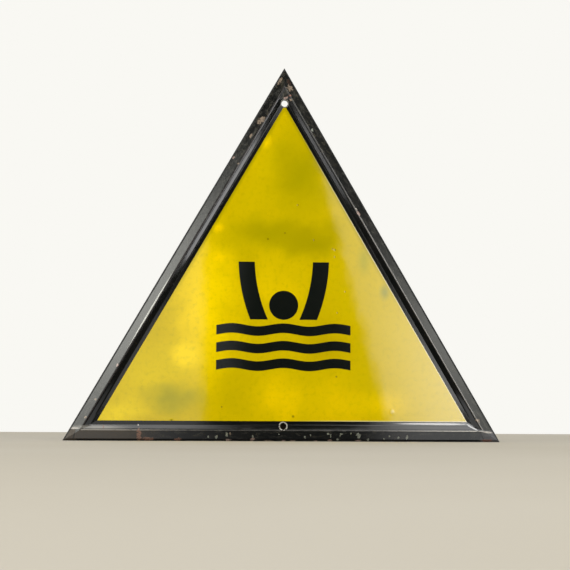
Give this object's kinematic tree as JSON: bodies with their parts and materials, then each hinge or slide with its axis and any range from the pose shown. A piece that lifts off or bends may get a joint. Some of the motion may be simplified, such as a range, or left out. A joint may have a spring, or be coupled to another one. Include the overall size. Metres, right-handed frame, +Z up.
{
  "type": "triangular enamel safety sign",
  "caption": "Triangular pressed-steel enamel warning plate with a raised rim, a yellow field, a swimmer above waves and fixing holes.",
  "frame": {"origin": "midway between the two fixing holes, on the front face of the flat panel", "axes": "+Z up towards the triangle's top corner, +X to the right along the bottom edge as a viewer sees it, -Y out of the front towards the viewer"},
  "size_m": [0.4, 0.012, 0.3464],
  "materials": {
    "black_enamel": "glossy black vitreous enamel, dulled, chipped and rusted at the edges and holes",
    "yellow_enamel": "glossy yellow vitreous enamel with cloudy olive patches and small pits",
    "figure_enamel": "glossy black vitreous enamel"
  },
  "bodies": {
    "root": {"sign_plate": "black_enamel", "yellow_field": "yellow_enamel", "swimmer_figure": "figure_enamel", "water_waves": "figure_enamel"}
  },
  "joints": []
}
